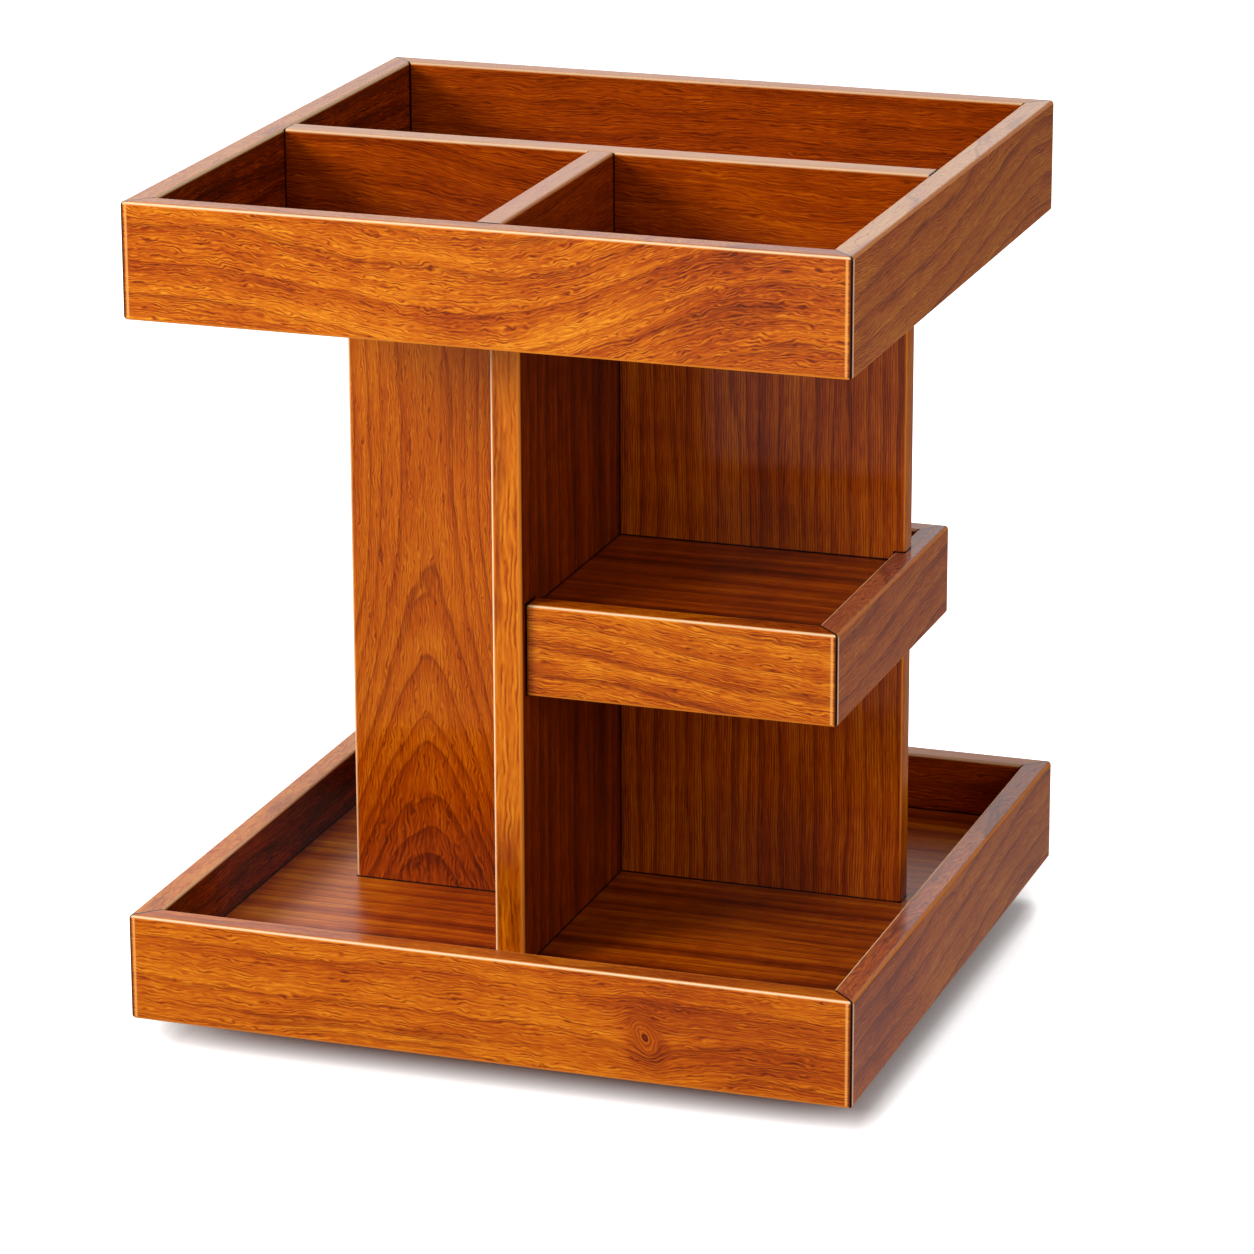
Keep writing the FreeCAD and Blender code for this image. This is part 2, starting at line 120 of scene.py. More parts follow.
def joined_box(names):
    """The box around several nodes, in millimetres."""
    boxes = [board_box(name) for name in names]
    low = Vector([min(b[0][i] for b in boxes) for i in range(3)])
    high = Vector([max(b[1][i] for b in boxes) for i in range(3)])
    return low, high


SIDES = ("front", "right", "back", "left")
BASE_RAILS = [f"base_{side}_rail" for side in SIDES]
TOP_RAILS = [f"top_{side}_rail" for side in SIDES]
SHELF_RAILS = [f"shelf_{side}_rail" for side in SIDES[:3]]
TRAYS = {name: rails for rails in (BASE_RAILS, TOP_RAILS, SHELF_RAILS) for name in rails}
PANELS = ["base_floor", "top_floor", "shelf_floor", "spine_panel", "left_wing_panel",
          "right_wing_panel", "long_divider", "cross_divider"]
BOARDS = PANELS + BASE_RAILS + TOP_RAILS + SHELF_RAILS


# Boards this close, in millimetres, count as touching: only a joint's clearance lies between them.
TOUCH_SLACK = 0.5


def boxes_touch(a, b):
    """True if two boxes, in millimetres, meet, overlap or nearly touch."""
    return all(a[0][i] - TOUCH_SLACK <= b[1][i] and b[0][i] - TOUCH_SLACK <= a[1][i] for i in range(3))


def neighbours(name):
    """The boards that a board butts against, apart from those it is mitred to."""
    own = board_box(name)
    mitred = TRAYS.get(name, [])
    return [other for other in BOARDS
            if other != name and other not in mitred and boxes_touch(own, board_box(other))]


# The wood

# How many spots of the noise one step of the seed moves it by.
SEED_SHIFT = (7.31, 3.17, 5.53)


def across_grain(tree, point, size, seed, detail=2.0, roughness=0.55, out="Fac"):
    """Noise whose spots measure size = (along, across, through) the grain, in millimetres."""
    scale = tuple(1 / s for s in size)
    shift = tuple(seed * step for step in SEED_SHIFT)
    place = add(tree, "VectorMath", {0: point, 1: scale, 2: shift}, operation="MULTIPLY_ADD")
    return add(tree, "TexNoise", {"Vector": place, "Scale": 1.0, "Detail": detail, "Roughness": roughness},
               out=out)


def swayed(tree, point, size, reach, seed, detail=1.0):
    """The point moved by soft noise, by up to about reach millimetres along, across and through."""
    colour = across_grain(tree, point, size, seed, detail, 0.5, "Color")
    centred = add(tree, "VectorMath", {0: colour, 1: (0.5, 0.5, 0.5)}, operation="SUBTRACT")
    twice = tuple(2 * r for r in reach)
    return add(tree, "VectorMath", {0: centred, 1: twice, 2: point}, operation="MULTIPLY_ADD")


def bent(tree, point, bends):
    """The point after the grain has risen by each bend's rise between its two places, in millimetres."""
    for start, end, rise in bends:
        along = add(tree, "SeparateXYZ", {0: point}, out="X")
        lift = add(tree, "MapRange", {"Value": along, "From Min": start, "From Max": end, "To Max": -rise},
                   interpolation_type="SMOOTHSTEP")
        offset = add(tree, "CombineXYZ", {"Y": lift})
        point = add(tree, "VectorMath", {0: point, 1: offset}, operation="ADD")
    return point


def grain_point(tree, name, along, across):
    """Millimetres from the board's centre: X along its grain, Y across its face, Z through it."""
    low, high = board_box(name)
    rows = [along_axis(along), along_axis(across)]
    rows.append(rows[0].cross(rows[1]))
    turn = Matrix(rows)
    centre = turn @ ((low + high) / 2)
    point = add(tree, "TexCoord", {}, out="Object")
    return add(tree, "Mapping", {"Vector": point, "Scale": (1 / MM,) * 3, "Rotation": turn.to_euler(),
                                 "Location": -centre}, vector_type="POINT")


def from_middle(tree, point, box):
    """How far the point is from a box's middle along each axis, and half the box's size, in millimetres."""
    low, high = box
    off = add(tree, "VectorMath", {0: point, 1: (low + high) / 2}, operation="SUBTRACT")
    return add(tree, "VectorMath", {0: off}, operation="ABSOLUTE"), (high - low) / 2


def near_box(tree, point, box):
    """How far the point is outside a box, in millimetres."""
    off, half = from_middle(tree, point, box)
    off = add(tree, "VectorMath", {0: off, 1: half}, operation="SUBTRACT")
    off = add(tree, "VectorMath", {0: off, 1: (0, 0, 0)}, operation="MAXIMUM")
    return add(tree, "VectorMath", {0: off}, out="Value", operation="LENGTH")


def arris_distance(tree, point, box):
    """How far the point is from the nearest edge of a box on whose surface it lies, in millimetres."""
    off, half = from_middle(tree, point, box)
    off = add(tree, "VectorMath", {0: half, 1: off}, operation="SUBTRACT")
    parts = add(tree, "SeparateXYZ", {0: off}).node.outputs
    least = add(tree, "Math", {0: parts[0], 1: parts[1]}, operation="MINIMUM")
    most = add(tree, "Math", {0: parts[0], 1: parts[1]}, operation="MAXIMUM")
    most = add(tree, "Math", {0: most, 1: parts[2]}, operation="MINIMUM")
    return add(tree, "Math", {0: least, 1: most}, operation="MAXIMUM")


def mitre_distance(tree, point, corner, signs):
    """How far the point is from the mitre joint through a tray's corner, in millimetres."""
    off = add(tree, "VectorMath", {0: point, 1: corner}, operation="SUBTRACT")
    normal = Vector((signs[1], -signs[0], 0)).normalized()
    gap = add(tree, "VectorMath", {0: off, 1: normal}, out="Value", operation="DOT_PRODUCT")
    return add(tree, "Math", {0: gap}, operation="ABSOLUTE")


def band(tree, value, near, far):
    """1 where the value is under near, falling softly to 0 at far."""
    return add(tree, "MapRange", {"Value": value, "From Min": near, "From Max": far, "To Min": 1.0,
                                  "To Max": 0.0}, interpolation_type="SMOOTHSTEP")


# Each fine line is full within its core and ends at its reach, in millimetres from its middle.
SEAM_CORE, SEAM_REACH = 0.18, 0.55
ARRIS_CORE, ARRIS_REACH = 0.42, 1.15
# On the front and back rails the rounded upright corner is dark: the mitre's joint line, widened into
# painted shade.
CORNER_JOINT_AND_SHADE = (0.8, 1.3)

# The painted highlight line beside an upright corner: its distance from the corner, its core and its reach,
# in millimetres.
FRONT_HIGHLIGHT = (1.75, 0.15, 0.6)
SIDE_HIGHLIGHT = (0.85, 0.3, 0.7)

# The upright faces are those whose normal rises by less than this, fading out up to the second value.
UPRIGHT = (0.2, 0.6)


def least_of(tree, values):
    """The least of several values."""
    least = values[0]
    for other in values[1:]:
        least = add(tree, "Math", {0: least, 1: other}, operation="MINIMUM")
    return least


def mitred_corners(name):
    """The outer corners of a rail's tray, in plan, and which way each lies from the middle."""
    low, high = joined_box(TRAYS[name])
    signs = [(x, y) for y in (-1, 1) for x in (-1, 1) if x > 0 or TRAYS[name] is not SHELF_RAILS]
    return [((high.x if x > 0 else low.x, high.y if y > 0 else low.y, 0), (x, y)) for x, y in signs]


def seam_mask(tree, name, point):
    """1 in the fine dark lines where a board meets its neighbours, 0 away from them."""
    distances = [near_box(tree, point, board_box(other)) for other in neighbours(name)]
    if name in TRAYS:
        distances += [mitre_distance(tree, point, corner, signs) for corner, signs in mitred_corners(name)]
    return band(tree, least_of(tree, distances), SEAM_CORE, SEAM_REACH)


def corner_lines(tree, name, along, wood, point):
    """The colour after the upright corners of a tray. On the front and back rails the rounded corner is
    dark, the mitre's joint line widened into painted shade, with a painted highlight line beside it. On the
    side rails there is one broader painted highlight line."""
    distances = []
    for corner, _ in mitred_corners(name):
        off = add(tree, "VectorMath", {0: point, 1: corner}, operation="SUBTRACT")
        off = add(tree, "VectorMath", {0: off}, operation="ABSOLUTE")
        parts = add(tree, "SeparateXYZ", {0: off}).node.outputs
        distances.append(add(tree, "Math", {0: parts[0], 1: parts[1]}, operation="MAXIMUM"))
    along_face = least_of(tree, distances)
    normal = add(tree, "TexCoord", {}, out="Normal")
    level = add(tree, "SeparateXYZ", {0: normal}, out="Z")
    level = add(tree, "Math", {0: level}, operation="ABSOLUTE")
    upright = band(tree, level, *UPRIGHT)
    place, core, reach = FRONT_HIGHLIGHT if along == "X" else SIDE_HIGHLIGHT
    off_line = add(tree, "Math", {0: along_face, 1: place}, operation="SUBTRACT")
    off_line = add(tree, "Math", {0: off_line}, operation="ABSOLUTE")
    corner_highlight = band(tree, off_line, core, reach)
    # A painted highlight beside the corner, and the joint line with painted shade on the rounded corner.
    if along == "X":
        lines = [(corner_highlight, 0.7, "#f7ab56"), (band(tree, along_face, *CORNER_JOINT_AND_SHADE), 0.85, "#451002")]
    else:
        lines = [(corner_highlight, 0.9, "#ffcfae")]
    for mask, share, code in lines:
        mask = add(tree, "Math", {0: mask, 1: upright}, operation="MULTIPLY")
        mask = add(tree, "Math", {0: mask, 1: share}, operation="MULTIPLY")
        wood = add(tree, "Mix", {"Factor": mask, 6: wood, 7: linear(code)}, out=2, data_type="RGBA")
    return wood


# The ends of the panels that aren't rounded: each box that holds the rounded edges runs on past them.
FAR = 500.0
SQUARE_ENDS = {
    "spine_panel": ((0, 0, -FAR), (0, 0, FAR)),
    "left_wing_panel": ((0, 0, -FAR), (FAR, 0, FAR)),
    "right_wing_panel": ((-FAR, 0, -FAR), (0, 0, FAR)),
    "long_divider": ((-FAR, 0, -FAR), (FAR, 0, 0)),
    "cross_divider": ((0, -FAR, -FAR), (0, FAR, 0)),
    "shelf_front_rail": ((-FAR, 0, 0), (0, 0, 0)),
    "shelf_back_rail": ((-FAR, 0, 0), (0, 0, 0)),
}


def arris_mask(tree, name, along, point, width=1.0):
    """1 along the rounded edges of a board, 0 away from them. A rail runs on to the corner of its tray."""
    low, high = board_box(name)
    if name in TRAYS:
        run = AXES.index(along)
        tray = joined_box(TRAYS[name])
        low[run], high[run] = tray[0][run], tray[1][run]
    past_low, past_high = SQUARE_ENDS.get(name, ((0, 0, 0), (0, 0, 0)))
    box = (low + Vector(past_low), high + Vector(past_high))
    return band(tree, arris_distance(tree, point, box), ARRIS_CORE * width, ARRIS_REACH * width)


# Which way each board's sheltered side looks, by the second word of its name: into the tray for a rail, and
# to the right for the spine panel. That side gets a painted shade, darker than the rest of the board.
INWARD = {"front": (0, 1, 0), "right": (-1, 0, 0), "back": (0, -1, 0), "left": (1, 0, 0), "panel": (1, 0, 0)}

# A face looks along a direction if the cosine of the angle between them is more than this.
FACING = 0.7


def faces(tree, direction):
    """1 on the faces that look along a direction of the object, 0 on the others."""
    normal = add(tree, "TexCoord", {}, out="Normal")
    share = add(tree, "VectorMath", {0: normal, 1: direction}, out="Value", operation="DOT_PRODUCT")
    return add(tree, "Math", {0: share, 1: FACING}, operation="GREATER_THAN")


def face_masks(tree, name, across):
    """1 on a board's narrow edges, and 1 on its sheltered side."""
    up = along_axis(across)
    edge = add(tree, "Math", {0: faces(tree, up), 1: faces(tree, -up)}, operation="ADD")
    sheltered = INWARD.get(name.split("_")[1])
    return edge, faces(tree, sheltered) if sheltered else 0.0


# An oval this long through the board looks the same at every depth.
ALL_THROUGH = 1e6
OVAL_CORE = 0.1


def from_oval(tree, point, x, y, length, width, slope):
    """How far the point is from an oval's middle, where 1 is the oval's outline. Its half length and half
    width are in millimetres, and its slope is in degrees."""
    place = add(tree, "Mapping", {"Vector": point, "Location": (x, y, 0),
                                  "Rotation": (0, 0, math.radians(slope)),
                                  "Scale": (length, width, ALL_THROUGH)}, vector_type="TEXTURE")
    return add(tree, "VectorMath", {0: place}, out="Value", operation="LENGTH")


def patch(tree, point, *oval):
    """A soft oval in the board: 1 at its middle, 0 at its outline."""
    return band(tree, from_oval(tree, point, *oval), OVAL_CORE, 1.0)


# The knot is an oval, 1.6 times as long as wide and steep in the board.
KNOT_STRETCH, KNOT_SLOPE = 1.6, -62

# Its heart is darkest, and the wood round it is darker too. Each is full within the first distance and ends
# at the second, in millimetres, and changes the shade by the third value.
KNOT_HEART = (0.5, 1.0, -0.3)
KNOT_HALO = (2.0, 9.0, -0.12)

# The knot gives way to the board's own shade between these shares of its size.
KNOT_EDGE = (0.75, 1.3)

# Its rings lie about 1 mm apart, at 6.5 radians per millimetre. Then their middle shade and its range.
KNOT_TURN, KNOT_SHADE, KNOT_VARIES = 6.5, 0.40, 0.09

# How unevenly the rings run, in millimetres, and the size of the noise that moves them.
KNOT_WOBBLE, KNOT_WOBBLE_SIZE = 1.6, (3, 2, 2)


def round_knot(tree, point, x, y, size):
    """The point after the grain has parted round a knot, and the distance from the knot's heart."""
    distance = from_oval(tree, point, x, y, KNOT_STRETCH, 1, KNOT_SLOPE)
    wide = add(tree, "Math", {0: distance, 1: size}, operation="MAXIMUM")
    pinch = add(tree, "Math", {0: size, 1: wide}, operation="DIVIDE")
    pinch = add(tree, "Math", {0: pinch, 1: 2.0}, operation="POWER")
    off = add(tree, "VectorMath", {0: (x, y, 0), 1: point}, operation="SUBTRACT")
    side = add(tree, "VectorMath", {0: off, 1: (0, 1, 0)}, operation="MULTIPLY")
    shift = add(tree, "VectorMath", {0: side, "Scale": pinch}, operation="SCALE")
    return add(tree, "VectorMath", {0: point, 1: shift}, operation="ADD"), distance


def knot_shade(tree, point, shade, from_knot, size, seed):
    """The shade after a knot: its fine rings, its dark heart and the darker wood round it."""
    uneven = across_grain(tree, point, KNOT_WOBBLE_SIZE, seed, 2.0)
    away = add(tree, "Math", {0: uneven, 1: KNOT_WOBBLE, 2: from_knot}, operation="MULTIPLY_ADD")
    away = add(tree, "Math", {0: away, 1: KNOT_WOBBLE / 2}, operation="SUBTRACT")
    rings = add(tree, "Math", {0: away, 1: KNOT_TURN}, operation="MULTIPLY")
    rings = add(tree, "Math", {0: rings}, operation="SINE")
    rings = add(tree, "Math", {0: rings, 1: KNOT_VARIES, 2: KNOT_SHADE}, operation="MULTIPLY_ADD")
    *heart, darker = KNOT_HEART
    rings = add(tree, "Math", {0: band(tree, away, *heart), 1: darker, 2: rings}, operation="MULTIPLY_ADD")
    *halo, darker = KNOT_HALO
    shade = add(tree, "Math", {0: band(tree, away, *halo), 1: darker, 2: shade}, operation="MULTIPLY_ADD")
    rim = band(tree, away, *(size * share for share in KNOT_EDGE))
    return add(tree, "Mix", {0: rim, 2: shade, 3: rings})


# A flame's arches lean to one side, by a share of their rise, at a distance beside the pith in millimetres.
FLAME_LEAN, FLAME_BESIDE = 0.35, 18

# How fast the years' widths change, and by how many rings they move; how many rings the rings wander.
YEARS_SCALE, YEARS_SHIFT, RING_WANDER = 0.8, 1.6, 1.0
RING_WANDER_SIZE = (60, 14, 14)

# In one year, from 0 to 1: where the late wood and its thin dark line start, and where both are full.
LATE_START, LINE_START, YEAR_FULL = 0.3, 0.78, 0.9

# The layers change more slowly through the board than across its face.
THROUGH_SHARE = 0.6


def growth_rings(tree, rippled, seed, pith, spacing, flame):
    """Rings round a pith that lies beside and behind the face: the slow changes from year to year, the dark
    late wood, the thin line where a year ends, and a point whose Y counts the layers that the fibres
    follow. A flame is the stretch where the board was cut near a sloping pith, so that the rings close in
    arches there: where it starts, where it is full, and how far the rings rise."""
    offset = add(tree, "VectorMath", {0: rippled, 1: (0, pith[0], pith[1])}, operation="SUBTRACT")
    offset = add(tree, "VectorMath", {0: offset, 1: (0, 1, 1)}, operation="MULTIPLY")
    radius = add(tree, "VectorMath", {0: offset}, out="Value", operation="LENGTH")
    layer = radius
    if flame:
        start, full, rise = flame
        length = add(tree, "SeparateXYZ", {0: rippled}, out="X")
        share = add(tree, "MapRange", {"Value": length, "From Min": start, "From Max": full})
        share = add(tree, "Math", {0: share, 1: 2.0}, operation="POWER")
        beside = add(tree, "SeparateXYZ", {0: offset}, out="Y")
        most = FLAME_LEAN * rise
        lean = add(tree, "MapRange", {"Value": beside, "From Min": -FLAME_BESIDE, "From Max": FLAME_BESIDE,
                                      "To Min": -most, "To Max": most})
        lean = add(tree, "Math", {0: share, 1: lean}, operation="MULTIPLY")
        layer = add(tree, "Math", {0: beside, 1: lean}, operation="SUBTRACT")
        radius = add(tree, "Math", {0: share, 1: -rise, 2: radius}, operation="MULTIPLY_ADD")
    turns = add(tree, "Math", {0: radius, 1: spacing}, operation="DIVIDE")
    season = add(tree, "TexNoise", {"W": turns, "Scale": YEARS_SCALE, "Detail": 3.0, "Roughness": 0.6},
                 out="Fac", noise_dimensions="1D")
    wander = across_grain(tree, rippled, RING_WANDER_SIZE, seed + 3, 1.0)
    phase = add(tree, "Math", {0: season, 1: YEARS_SHIFT, 2: turns}, operation="MULTIPLY_ADD")
    phase = add(tree, "Math", {0: wander, 1: RING_WANDER, 2: phase}, operation="MULTIPLY_ADD")
    ring = add(tree, "Math", {0: phase}, operation="FRACT")
    before_end = band(tree, ring, YEAR_FULL, 1.0)
    late = add(tree, "MapRange", {"Value": ring, "From Min": LATE_START, "From Max": YEAR_FULL},
               interpolation_type="SMOOTHSTEP")
    late = add(tree, "Math", {0: late, 1: before_end}, operation="MULTIPLY")
    thin = add(tree, "MapRange", {"Value": ring, "From Min": LINE_START, "From Max": YEAR_FULL},
               interpolation_type="SMOOTHSTEP")
    thin = add(tree, "Math", {0: thin, 1: before_end}, operation="MULTIPLY")
    parts = add(tree, "SeparateXYZ", {0: rippled}).node.outputs
    through = add(tree, "Math", {0: parts[2], 1: THROUGH_SHARE}, operation="MULTIPLY")
    layers = add(tree, "CombineXYZ", {"X": parts[0], "Y": layer, "Z": through})
    return season, late, thin, layers


# A strand bends over this width, in millimetres.
BEND_WIDTH = 3

# It fades over shares of its reach and its width, between two values of the noise, down to the last share.
FADE_REACH, FADE_WIDTH = 0.6, 1.5
FADE_LOW, FADE_HIGH, FAINTEST = 0.35, 0.65, 0.25


def strands(tree, layers, seed, width, reach, bow):
    """Strands that wave along the grain and fade in and out: -1 in the dark ones, 1 in the light ones."""
    parts = add(tree, "SeparateXYZ", {0: layers}).node.outputs
    height = add(tree, "Math", {0: parts[1], 1: parts[2]}, operation="ADD")
    bend = across_grain(tree, layers, (reach, BEND_WIDTH, BEND_WIDTH), seed, 2.0)
    turns = add(tree, "Math", {0: height, 1: 1 / width}, operation="MULTIPLY")
    turns = add(tree, "Math", {0: bend, 1: bow, 2: turns}, operation="MULTIPLY_ADD")
    turns = add(tree, "Math", {0: turns, 1: math.tau}, operation="MULTIPLY")
    wave = add(tree, "Math", {0: turns}, operation="SINE")
    fade_width = FADE_WIDTH * width
    fade = across_grain(tree, layers, (FADE_REACH * reach, fade_width, fade_width), seed + 0.5, 1.0)
    fade = add(tree, "MapRange", {"Value": fade, "From Min": FADE_LOW, "From Max": FADE_HIGH,
                                  "To Min": FAINTEST}, interpolation_type="SMOOTHSTEP")
    return add(tree, "Math", {0: wave, 1: fade}, operation="MULTIPLY")


WOOD_TONES = ((0.0, "#2c0b00"), (0.18, "#702200"), (0.36, "#a23f00"), (0.5, "#c05b01"), (0.66, "#d97b0d"),
              (0.82, "#ea961f"), (1.0, "#f8ba50"))
# Colours of the arrises: a painted highlight over edges that are also worn pale.
ARRIS_HIGHLIGHT_TONES = ((0.0, "#f08c2c"), (0.5, "#ee9438"), (0.8, "#ffc27a"), (1.0, "#ffe4bc"))
# The first colour is a painted pale sheen for the narrow edges.
PAINTED_EDGE_SHEEN, YEAR_LINE, DARK_HAIR, JOINT_LINE = "#f0c2ae", "#5c2200", "#5e2300", "#1c0802"

# The sizes of the wood's noise along, across and through the grain, in millimetres. The hairs and pores of
# the real wood are finer, and are drawn as coarse as they need to be to show.
SWAY_SIZE, RIPPLE_SIZE, CURL_SIZE = (95, 38, 38), (15, 7, 7), (4.0, 1.8, 1.8)
FIBRE_SIZE, CLOUD_SIZE = (22, 1.0, 1.0), (48, 18, 18)
RIBBON_SIZE, HAIR_SIZE = (6, 22, 22), (5, 0.35, 0.35)

# How far the curl moves the grain lengthwise, in millimetres.
CURL_ALONG = 0.6

# The darkest strands turn into dark hair lines, from this share of a strand's depth down. The strength of
# the lines is the second value, and the third value times the strokes is added to it.
HAIR_FROM, HAIR_LEAST, HAIR_MORE = 0.7, 0.35, 0.3

# The arris's painted highlight is palest where it faces the lit side: the cosines between which its colour
# changes.
LIT_FROM, LIT_FULL = -0.1, 0.5

# The depth of the pores, in metres, and the share of a strand's height beside a hair's.
PORE_DEPTH, STRAND_HEIGHT = 0.11 * MM, 0.5

# The coat is thinner on the sheltered side, and all but gone where an arris is worn.
COAT_SHELTERED, COAT_WORN = -0.6, -0.95


def lacquered_sheesham(name, along, across, seed, pith=(-90, 30), spacing=8, bends=(), flame=None, knot=None,
                       patches=(), sway=5.0, ripple=0.9, curl=0.5, tone=0.0, painted_edge_light=0.12, painted_inner_shade=-0.3,
                       lines=0.3, figure=0.4, bands=0.4, strokes=1.0, grain=0.85, reach=14, bow=4.0,
                       edge_strokes=0.4, painted_edge_sheen=0.0, arris=0.85, arris_width=1.0,
                       lit_side=(-0.6, -0.25, 0.75), blur=0.12):
    """Sheesham, an Indian rosewood: orange to red brown heartwood with dark growth lines, fine dark and
    pale hair lines and a curly, interlocked grain. It is planed, sanded and gloss lacquered, so that its
    depth shows under a clear coat that mirrors the room at a low angle. The arrises are pale gold, partly
    from wear and partly a painted highlight that is palest where they face the light. The narrow edges get
    painted light and shade and a painted pale sheen, and the sheltered side a painted shade."""
    material, tree, shader = new_material("lacquered_sheesham_" + name)
    point = grain_point(tree, name, along, across)
    flow = bent(tree, point, bends)
    if knot:
        flow, from_knot = round_knot(tree, flow, *knot)
    flow = swayed(tree, flow, SWAY_SIZE, (0, sway, sway / 2), seed)
    rippled = swayed(tree, flow, RIPPLE_SIZE, (0, ripple, ripple), seed + 1)
    season, late, thin, layers = growth_rings(tree, rippled, seed, pith, spacing, flame)
    curled = swayed(tree, layers, CURL_SIZE, (CURL_ALONG, curl, curl), seed + 2)

    # fibres, curly figure and slow changes of colour
    fibre = across_grain(tree, layers, FIBRE_SIZE, seed + 4, 3.0, 0.65)
    cloud = across_grain(tree, flow, CLOUD_SIZE, seed + 5, 2.0)
    ribbon = across_grain(tree, rippled, RIBBON_SIZE, seed + 6, 2.0)
    hair = across_grain(tree, curled, HAIR_SIZE, seed + 7, 1.0)
    strand = strands(tree, curled, seed + 8, grain, reach, bow)
    edge, inside = face_masks(tree, name, across)
    # Painted light and shade: the narrow edges are made lighter or darker, as light falls on them.
    shade = add(tree, "Math", {0: edge, 1: painted_edge_light, 2: 0.5 + tone}, operation="MULTIPLY_ADD")
    # Painted shade: the sheltered side is made darker.
    shade = add(tree, "Math", {0: inside, 1: painted_inner_shade, 2: shade}, operation="MULTIPLY_ADD")
    drawn = add(tree, "Math", {0: edge, 1: (edge_strokes - 1) * strokes, 2: strokes},
                operation="MULTIPLY_ADD")
    strand = add(tree, "Math", {0: strand, 1: drawn}, operation="MULTIPLY")

    # each layer of the pattern with its middle value and how much it changes the shade
    pattern = ((season, 0.5, bands), (fibre, 0.5, 0.5 * strokes), (cloud, 0.5, 0.8 * figure),
               (ribbon, 0.5, 0.35 * figure), (late, 0.2, -0.3 * lines), (hair, 0.5, 0.4 * strokes),
               (strand, 0.0, 0.14))
    for value, middle, share in pattern:
        centred = add(tree, "Math", {0: value, 1: middle}, operation="SUBTRACT")
        shade = add(tree, "Math", {0: centred, 1: share, 2: shade}, operation="MULTIPLY_ADD")
    for *oval, change in patches:
        share = patch(tree, flow, *oval)
        shade = add(tree, "Math", {0: share, 1: change, 2: shade}, operation="MULTIPLY_ADD")
    if knot:
        shade = knot_shade(tree, point, shade, from_knot, knot[2], seed + 9)
    wood = colour_steps(tree, shade, WOOD_TONES)

    # the painted pale sheen on the narrow edges, the lines where the years end, and the pores
    edge_sheen = add(tree, "Math", {0: edge, 1: painted_edge_sheen}, operation="MULTIPLY")
    thin = add(tree, "Math", {0: thin, 1: lines}, operation="MULTIPLY")
    dark_hair = add(tree, "MapRange", {"Value": strand, "From Min": -HAIR_FROM * strokes,
                                       "From Max": -strokes, "To Max": HAIR_LEAST + HAIR_MORE * strokes},
                    interpolation_type="SMOOTHSTEP")
    for mask, code in ((edge_sheen, PAINTED_EDGE_SHEEN), (thin, YEAR_LINE), (dark_hair, DARK_HAIR)):
        wood = add(tree, "Mix", {"Factor": mask, 6: wood, 7: linear(code)}, out=2, data_type="RGBA")

    # pale arrises from wear and a painted highlight, the tray corners' painted highlights and shade, and
    # dark joint lines
    place = object_point(tree)
    wear_and_highlight = arris_mask(tree, name, along, place, arris_width)
    normal = add(tree, "TexCoord", {}, out="Normal")
    lit = add(tree, "VectorMath", {0: normal, 1: lit_side}, out="Value", operation="DOT_PRODUCT")
    lit = add(tree, "MapRange", {"Value": lit, "From Min": LIT_FROM, "From Max": LIT_FULL},
              interpolation_type="SMOOTHSTEP")
    highlight_colour = add(tree, "Math", {0: wear_and_highlight, 1: lit}, operation="MULTIPLY")
    highlight_colour = colour_steps(tree, highlight_colour, ARRIS_HIGHLIGHT_TONES)
    wear_and_highlight = add(tree, "Math", {0: wear_and_highlight, 1: arris}, operation="MULTIPLY")
    wood = add(tree, "Mix", {"Factor": wear_and_highlight, 6: wood, 7: highlight_colour}, out=2, data_type="RGBA")
    if name in TRAYS:
        wood = corner_lines(tree, name, along, wood, place)
    joint = seam_mask(tree, name, place)
    wood = add(tree, "Mix", {"Factor": joint, 6: wood, 7: linear(JOINT_LINE)}, out=2, data_type="RGBA")

    # the pores' relief, the sheen of the wood under the coat, and the coat
    relief = add(tree, "Math", {0: strand, 1: STRAND_HEIGHT, 2: hair}, operation="MULTIPLY_ADD")
    normal = add(tree, "Bump", {"Height": relief, "Strength": 0.5, "Distance": PORE_DEPTH})
    gloss = add(tree, "MapRange", {"Value": strand, "From Min": -1, "From Max": 1, "To Min": 0.55,
                                   "To Max": 0.42})
    coat = add(tree, "Math", {0: inside, 1: COAT_SHELTERED, 2: 1.0}, operation="MULTIPLY_ADD")
    coat = add(tree, "Math", {0: wear_and_highlight, 1: COAT_WORN, 2: coat}, operation="MULTIPLY_ADD", use_clamp=True)
    set_inputs(tree, shader, {"Base Color": wood, "Roughness": gloss, "Normal": normal, "IOR": 1.3,
                              "Specular IOR Level": 0.05, "Coat Weight": coat, "Coat Roughness": blur,
                              "Coat IOR": 1.3})
    return material


# How the grain runs in each board. Along and across name the axes of its grain. Lengths are in millimetres
# from the board's middle, and seed picks the noise. A bend is (from, to, rise), a knot (along, across,
# size), and a patch (along, across, half length, half width, slope in degrees, change of shade).
RIGHT_RAIL = dict(along="Y", across="Z", lines=0.35, figure=0.25, bands=0.2, curl=0.25, strokes=0.75,
                  grain=0.75, reach=18, edge_strokes=0.95, lit_side=(-0.9, -0.2, 0.4))
LEFT_RAIL = dict(along="Y", across="Z", strokes=0.8, edge_strokes=0.8, lit_side=(0.75, -0.35, 0.55))
BACK_RAIL = dict(along="X", across="Z", painted_inner_shade=-0.2, lines=0.15, figure=0.2, bands=0.12, curl=0.3,
                 strokes=0.6, arris=0.6)
DIVIDER = dict(across="Z", pith=(80, 30), lines=0.15, figure=0.2, bands=0.12, curl=0.3, strokes=0.6,
               painted_edge_sheen=0.2, arris=0.6)
FLOOR = dict(along="X", across="Y", pith=(160, 50), spacing=5, sway=2.5, ripple=0.5, curl=0.2, bands=0.7,
             strokes=0.7, grain=1.1, reach=22, bow=2.5, blur=0.28)
